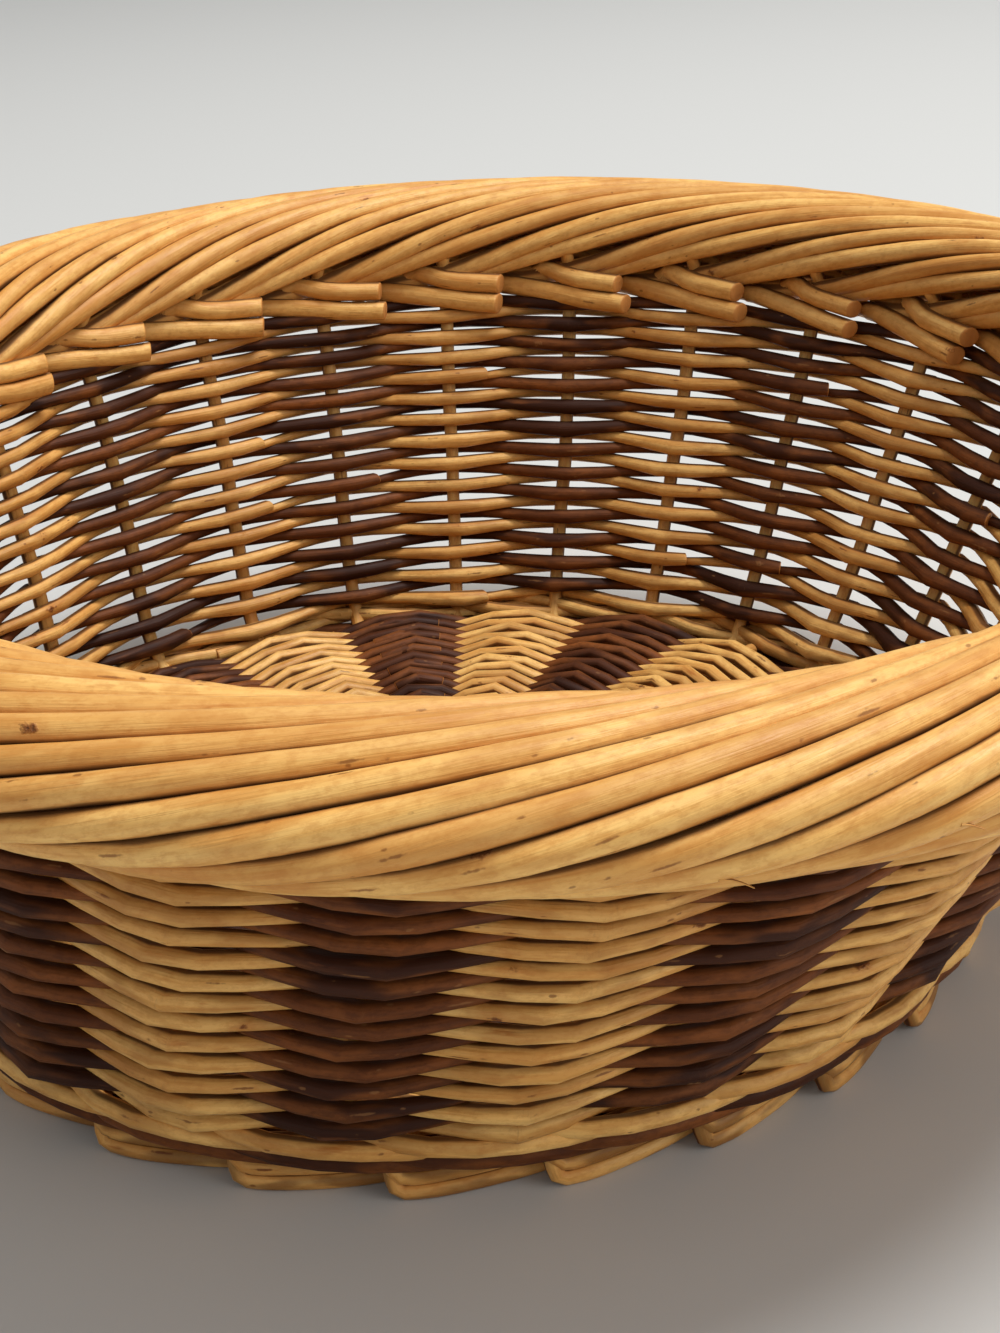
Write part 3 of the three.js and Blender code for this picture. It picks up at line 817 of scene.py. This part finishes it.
# Where a row meets itself: its butt lies above and inside its tip, which is thinner
JOIN_SHARES = (0.9, 0.1)
BUTT_RISE = 0.0004
TIP_DROP = 0.0008
BUTT_TUCK = 0.0006
TIP_TUCK = 0.0012
TIP_THINNER = 0.45
ROD_TOUCH = 0.0001


def weave_side(places, phase, sharpness):
    """Which side of the stakes or spokes a rod is on at a place counted in them: +1 outside or above, and -1
    inside or below."""
    wave = np.cos(math.pi * (places + phase))
    return np.arcsin(sharpness * wave) / math.asin(sharpness)


def weaver_heights(layout):
    """Middle heights of the wall rows, which lie the closer the higher they are."""
    rods = layout.rods
    low = FOOT_HEIGHT + 4 * rods.wale + 3 * ROD_CLEARANCE
    climb = (np.arange(rods.wall_rows) + 0.5) / rods.wall_rows
    return low + (WEAVE_TOPSIDE - low) * climb * (1 + ROW_CROWDING * (1 - climb))


def weaver_piece(layout, row, height, material, colour_name):
    """One row of the wall. Its rod starts and ends inside, where its butt lies over its own tip."""
    bundle = Bundle(layout, WALL_SEED + row)
    rng = bundle.rng
    rods = layout.rods
    count = rods.stake_count
    phase = WEAVE_PHASES[colour_name]
    start = (JOIN_STEP * (row // 2) + 1 - phase + 2 * int(rng.integers(0, JOIN_CHOICES))) % count
    samples = (count + 1) * SAMPLES_PER_STAKE
    stakes = np.linspace(start - BUTT_REACH_SHARE, start + count + TIP_REACH_SHARE, samples)
    along = stakes * layout.step * layout.wall_radius(height)
    half = np.linspace(rods.weaver_butt, rods.weaver_tip, samples) * rng.uniform(*ROD_VARIETY)
    if row < UPSETT_ROWS:
        half = half * UPSETT_STOUTER
    side = weave_side(stakes, phase, WALL_SHARPNESS)
    far, close = JOIN_SHARES
    near_tip = blend(stakes[-1] - far, stakes[-1] - close, stakes)
    near_butt = blend(stakes[0] + far, stakes[0] + close, stakes)
    level = height + wander(rng, along, *ROW_DRIFT_UP) + BUTT_RISE * near_butt - TIP_DROP * near_tip
    radius = layout.wall_radius(level) + side * (rods.stake + half + ROD_TOUCH)
    radius = radius + wander(rng, along, *ROW_DRIFT_OUT) + TIP_TUCK * near_tip - BUTT_TUCK * near_butt
    flat = 1 - (1 - CROSSING_HALF / half) * (1 - np.abs(side) ** CROSSING_SHARPNESS)
    angle = layout.stake_angle(stakes)
    bundle.add(
        around(angle, radius, level),
        outward(angle),
        half * (1 - TIP_THINNER * near_tip),
        ring_length=0.0036,
        flat=flat,
        bend=np.abs(side) ** BEND_SHARPNESS,
        slant=0.3,
        # Painted shade under the roll, added to the rod's tone
        painted_shade=TOP_PAINTED_SHADE * float(blend(TOP_PAINTED_SHADE_FROM, 1.0, row / rods.wall_rows)),
    )
    name = f"{colour_name}_{row // 2 + 1:02d}"
    bundle.make(f"wall_rod_{name}", material, f"{colour_name}_willow", f"weaver_{name}")


class BASKET_OT_wall(bpy.types.Operator):
    """Weaves the wall: rows of rod, buff and brown by turns, each before every other stake."""

    bl_idname = "basket.wall"
    bl_label = "Wall"

    def execute(self, context):
        layout = Layout(context.scene)
        for row, height in enumerate(weaver_heights(layout)):
            colour_name = ("buff", "brown")[row % 2]
            weaver_piece(layout, row, height, woven_willow(context.scene, colour_name), colour_name)
        return {"FINISHED"}


# Wales: three rods that pass outside two stakes and inside the next, each over the one before

WALE_SEEDS = {"brown": SEED + 201, "buff": SEED + 202}
WALE_RODS = 3
WALE_SIDE_SHARES = [0.0, -1.0, 0.1, 1.35, 1.3, 1.0]
WALE_RISE_SHARES = [-0.6, 0.2, 0.7, 0.7, 0.0, -0.6]
WALE_OVERLAP_SHARE = 0.5
WALE_STEP_OUT = 0.0024
SOFTEN_SAMPLES = 7


def soften(values):
    """The values with their corners taken off."""
    weights = np.hanning(SOFTEN_SAMPLES + 2)[1:-1]
    padded = np.pad(values, SOFTEN_SAMPLES // 2, mode="edge")
    return np.convolve(padded, weights / weights.sum(), mode="valid")


def wale_piece(layout, colour_name, height, step_out, material):
    bundle = Bundle(layout, WALE_SEEDS[colour_name])
    rods = layout.rods
    count = rods.stake_count
    places = np.arange(len(WALE_SIDE_SHARES)) / len(WALE_SIDE_SHARES)
    for rod in range(WALE_RODS):
        stakes = np.linspace(rod, rod + count + WALE_OVERLAP_SHARE, (count + 1) * SAMPLES_PER_STAKE)
        cycle = ((stakes + rod) / WALE_RODS) % 1
        side = soften(np.interp(cycle, places, WALE_SIDE_SHARES, period=1))
        rise = soften(np.interp(cycle, places, WALE_RISE_SHARES, period=1))
        angle = layout.stake_angle(stakes)
        level = height + rise * rods.wale
        radius = layout.wall_radius(level) + side * (rods.stake + rods.wale) + step_out
        bundle.add(around(angle, radius, level), outward(angle), rods.wale, ring_length=0.0034)
    bundle.make(f"wale_rods_{colour_name}", material, f"{colour_name}_willow", f"wale_{colour_name}")


class BASKET_OT_wales(bpy.types.Operator):
    """Lays the brown wale on the foot border and the buff wale on the brown one."""

    bl_idname = "basket.wales"
    bl_label = "Wales"

    def execute(self, context):
        layout = Layout(context.scene)
        low = FOOT_HEIGHT + ROD_CLEARANCE + layout.rods.wale
        high = low + 2 * layout.rods.wale + ROD_CLEARANCE
        for colour_name, height, step_out in (
            ("brown", low, WALE_STEP_OUT),
            ("buff", high, WALE_STEP_OUT / 2),
        ):
            wale_piece(layout, colour_name, height, step_out, woven_willow(context.scene, colour_name))
        return {"FINISHED"}


# Foot border: at each stake a pair of rods comes down, turns and runs along to the next

FOOT_SEED = SEED + 301
FOOT_LEAD_SHARE = 0.22
FOOT_PLACE_SHARES = (-0.02, 0.0, 0.06, 0.3, 0.7)
FOOT_OUT_SHARES = np.array([0.5, 0.95, 1.0, 0.8, 0.2, -0.45])
FOOT_STEP_OUT = 0.0044
FOOT_RUN_SHARES = (1.09, 0.87)
FOOT_RUN_SPREAD_SHARE = 0.04
FOOT_TURN_SHARE = 1.6
FOOT_FLOOR_SHARE = 0.98
FOOT_SAMPLES = 6


def foot_piece(layout, material):
    bundle = Bundle(layout, FOOT_SEED)
    half = layout.rods.foot
    out = layout.shape.foot_radius + FOOT_OUT_SHARES * FOOT_STEP_OUT
    for stake in range(layout.rods.stake_count):
        angle = layout.stake_angle(stake + FOOT_LEAD_SHARE)
        for height, run in zip((half, 3 * half), FOOT_RUN_SHARES):
            run = run + bundle.rng.uniform(-FOOT_RUN_SPREAD_SHARE, FOOT_RUN_SPREAD_SHARE)
            top = FOOT_HEIGHT + 2 * half
            heights = [top, height + FOOT_TURN_SHARE * half, height, height, height, height]
            angles = angle + np.array([*FOOT_PLACE_SHARES, run]) * layout.step
            line = smooth_through(around(angles, out, heights), FOOT_SAMPLES)
            line[:, 2] = np.maximum(line[:, 2], half * FOOT_FLOOR_SHARE)
            facing = outward(np.arctan2(line[:, 1], line[:, 0]))
            bundle.add(line, facing, half, sides=12, ring_length=0.0022, slant=0.2)
    bundle.make("foot_border_rods", material, "buff_willow", "foot_border")


class BASKET_OT_foot(bpy.types.Operator):
    """Lays the foot border that the basket stands on."""

    bl_idname = "basket.foot"
    bl_label = "Foot border"

    def execute(self, context):
        colours = context.scene.willow_colours
        # The foot's willow is a darker copy of the buff willow, with painted shade from its shade setting as
        # well as dirt.
        material = buff_willow("Foot willow", colours, dirt_and_shade=0.90, wear=1.0, shade=0.18, depth=0.8, soil=0.5)
        foot_piece(Layout(context.scene), material)
        return {"FINISHED"}


# Base

STICKS_SEED = SEED + 401
BASE_WEAVE_SEEDS = {"buff": SEED + 402, "brown": SEED + 403}
BASE_STICKS = 5
BASE_TURN_ANGLE = math.radians(8)
BASE_RISE = 0.004
BASE_SET_UP = 0.0061
BASE_REACH_OUT = 0.0022
THROUGH_STICK_SHARE = 0.75
STICK_SAMPLES = 8
WEAVE_START_SHARE = 1.12
TURNS_PER_ROD = 2
ROD_END_SHARE = 0.3
SAMPLES_PER_SPOKE = 6
BASE_SHARPNESS = 0.96
BASE_MEAN_RADIUS = 0.08
BASE_DRIFT = (0.0003, 0.13)
STICK_LIFT_SHARE = 0.9


class BaseLayout:
    """Spokes, heights and reach of the base."""

    def __init__(self, layout):
        self.layout = layout
        self.rods = layout.rods
        self.spokes = 4 * BASE_STICKS
        self.spoke_step = TAU / self.spokes
        self.cross_half = (2 * self.rods.base_stick + ROD_CLEARANCE) / math.tan(self.spoke_step)
        self.radius = layout.base_radius + BASE_REACH_OUT
        self.weave_radius = self.cross_half * WEAVE_START_SHARE
        self.angle = layout.shape.first_stake + BASE_TURN_ANGLE

    def height_at(self, radius):
        return FOOT_HEIGHT + ROD_CLEARANCE + BASE_SET_UP + BASE_RISE * (1 - np.asarray(radius) / self.radius)


def base_sticks_piece(base, material):
    """Five sticks through five, side by side where they cross and then opened out as spokes."""
    bundle = Bundle(base.layout, STICKS_SEED)
    for quarter, share in enumerate((1.0, THROUGH_STICK_SHARE)):
        turn = base.angle + quarter * TAU / 4
        for order in range(BASE_STICKS):
            spread = (order - (BASE_STICKS - 1) / 2) * base.spoke_step
            reach = np.array([base.radius, base.radius / 2]) * math.cos(spread)
            ahead = np.concatenate([-reach, base.cross_half * np.linspace(-1, 1, 5), reach[::-1]])
            aside = math.tan(spread) * np.maximum(np.abs(ahead), base.cross_half)
            radii = np.hypot(ahead, aside)
            points = around(turn + np.arctan2(aside, ahead), radii, base.height_at(radii))
            line = smooth_through(points, STICK_SAMPLES)
            facing = np.broadcast_to(UP, line.shape)
            bundle.add(line, facing, base.rods.base_stick * share, ring_length=0.006)
    bundle.make("base_spokes", material, "base_stick_willow", "base_sticks")


def base_weave_piece(base, colour_name, material):
    """The rows of one colour, which wind outwards over one spoke and under the next."""
    bundle = Bundle(base.layout, BASE_WEAVE_SEEDS[colour_name])
    rods = base.rods
    phase = WEAVE_PHASES[colour_name]
    turns = rods.base_rows / 2
    pitch = (base.radius - base.weave_radius - rods.base) / (turns + 0.5)
    start = base.weave_radius + (1 - phase) * pitch / 2
    per_rod = TURNS_PER_ROD * base.spokes
    total = int(turns * base.spokes)
    for first in range(0, total, per_rod):
        last = min(first + per_rod, total)
        samples = (last - first) * SAMPLES_PER_SPOKE
        spokes = np.linspace(first - ROD_END_SHARE, last + ROD_END_SHARE, samples)
        along = spokes * base.spoke_step * BASE_MEAN_RADIUS
        radius = start + pitch * spokes / base.spokes + wander(bundle.rng, along, *BASE_DRIFT)
        lift = weave_side(spokes, phase, BASE_SHARPNESS) * (rods.base_stick * STICK_LIFT_SHARE + rods.base)
        line = around(base.angle + spokes * base.spoke_step, radius, base.height_at(radius) + lift)
        facing = np.broadcast_to(UP, line.shape)
        bundle.add(line, facing, rods.base, sides=8, ring_length=0.0045, flat=1.12)
    name = f"base_rods_{colour_name}"
    bundle.make(name, material, f"{colour_name}_willow", f"base_weaver_{colour_name}")


class BASKET_OT_base(bpy.types.Operator):
    """Builds the base: crossed sticks, and the two-coloured weave round them."""

    bl_idname = "basket.base"
    bl_label = "Base"

    def execute(self, context):
        base = BaseLayout(Layout(context.scene))
        colours = context.scene.willow_colours
        # The base sticks' willow is a darker copy of the buff willow, with painted shade from its shade
        # setting.
        base_sticks_piece(base, buff_willow("Base stick willow", colours, dirt_and_shade=0.5, shade=0.4))
        for colour_name in ("buff", "brown"):
            base_weave_piece(base, colour_name, woven_willow(context.scene, colour_name))
        return {"FINISHED"}


# Stage

FLOOR_HALF = 3.0
FLOOR_ROUGHNESS = 0.7
BACKGROUND_STRENGTH = 0.9
KEY_PLACE = (1.30, 0.22, 3.20)
KEY_SIZE = 1.6
FILL_PLACE = (3.20, -2.00, 1.80)
FILL_SIZE = 2.4
AIM = (0.0, 0.0, 0.06)
SENSOR_WIDTH = 36.0
CLIP_START = 0.01


def add_light(name, place, size, watts):
    light = bpy.data.lights.new(name, "AREA")
    light.shape = "DISK"
    light.size = size
    light.energy = watts
    lamp = bpy.data.objects.new(name, light)
    lamp.location = place
    lamp.visible_camera = False
    lamp.rotation_euler = (Vector(AIM) - Vector(place)).to_track_quat("-Z", "Y").to_euler()
    bpy.context.scene.collection.objects.link(lamp)


def add_camera(studio):
    """The camera, from where it stands and how it looks down, turns and rolls."""
    pitch, yaw, roll = studio.camera_pitch, studio.camera_yaw, studio.camera_roll
    forward = Vector((math.sin(yaw) * math.cos(pitch), math.cos(yaw) * math.cos(pitch), -math.sin(pitch)))
    level = Vector((math.cos(yaw), -math.sin(yaw), 0))
    upright = level.cross(forward)
    right = level * math.cos(roll) + upright * math.sin(roll)
    above = upright * math.cos(roll) - level * math.sin(roll)
    data = bpy.data.cameras.new("Camera")
    data.sensor_width = SENSOR_WIDTH
    data.lens = studio.focal_length
    data.clip_start = CLIP_START
    camera = bpy.data.objects.new("Camera", data)
    turned = Matrix((right, above, -forward)).transposed().to_4x4()
    camera.matrix_world = Matrix.Translation(studio.camera_place) @ turned
    bpy.context.scene.collection.objects.link(camera)
    bpy.context.scene.camera = camera


def add_world(studio):
    """Even light from all round, and a plain pale background for what looks past the floor."""
    world = bpy.data.worlds.new("World")
    world.use_nodes = True
    tree = world.node_tree
    background = tree.nodes["Background"]
    background.inputs["Color"].default_value = (1, 1, 1, 1)
    path = tree.nodes.new("ShaderNodeLightPath")
    seen = calculate(tree, "MAXIMUM", path.outputs["Is Camera Ray"], path.outputs["Is Transmission Ray"])
    strength = remap(tree, seen, 0, 1, studio.sky, BACKGROUND_STRENGTH)
    tree.links.new(strength, background.inputs["Strength"])
    bpy.context.scene.world = world


class BASKET_OT_stage(bpy.types.Operator):
    """Sets the floor, the soft lights and the camera."""

    bl_idname = "basket.stage"
    bl_label = "Stage"

    def execute(self, context):
        studio = context.scene.studio
        bpy.ops.object.select_all(action="DESELECT")
        bpy.ops.mesh.primitive_plane_add(size=2 * FLOOR_HALF, location=(0, 0, 0))
        floor = context.object
        floor.name = "floor"
        material, tree = new_material("Floor")
        shader = tree.nodes["Principled BSDF"]
        shader.inputs["Base Color"].default_value = (*studio.floor, 1)
        shader.inputs["Roughness"].default_value = FLOOR_ROUGHNESS
        floor.data.materials.append(material)
        add_light("Key", KEY_PLACE, KEY_SIZE, studio.key_power)
        add_light("Fill", FILL_PLACE, FILL_SIZE, studio.fill_power)
        add_world(studio)
        add_camera(studio)
        context.scene.view_settings.view_transform = "Standard"
        return {"FINISHED"}


class BASKET_PT_panel(bpy.types.Panel):
    """Lists the basket's sizes, colours and building steps."""

    bl_label = "Willow basket"
    bl_idname = "BASKET_PT_panel"
    bl_space_type = "VIEW_3D"
    bl_region_type = "UI"
    bl_category = "Basket"

    def draw(self, context):
        for heading, kind in GROUPS.items():
            box = self.layout.box()
            box.label(text=heading.replace("_", " ").capitalize())
            for name in kind.__annotations__:
                box.prop(getattr(context.scene, heading), name)
        for step in BUILD_STEPS:
            self.layout.operator(step.bl_idname)


GROUPS = {
    "basket_shape": BasketShape,
    "basket_rods": RodSizes,
    "willow_colours": WillowColours,
    "studio": StudioSettings,
}
BUILD_STEPS = (
    BASKET_OT_stage,
    BASKET_OT_stakes,
    BASKET_OT_wall,
    BASKET_OT_wales,
    BASKET_OT_foot,
    BASKET_OT_base,
)


CLASSES = (*GROUPS.values(), *BUILD_STEPS, BASKET_PT_panel)


def register():
    for kind in CLASSES:
        bpy.utils.register_class(kind)
    for name, kind in GROUPS.items():
        setattr(bpy.types.Scene, name, PointerProperty(type=kind))


def unregister():
    for name in GROUPS:
        delattr(bpy.types.Scene, name)
    for kind in reversed(CLASSES):
        bpy.utils.unregister_class(kind)


def main():
    register()
    bpy.ops.basket.stage()
    bpy.ops.basket.stakes()
    bpy.ops.basket.wall()
    bpy.ops.basket.wales()
    bpy.ops.basket.foot()
    bpy.ops.basket.base()


if __name__ == "__main__":
    main()
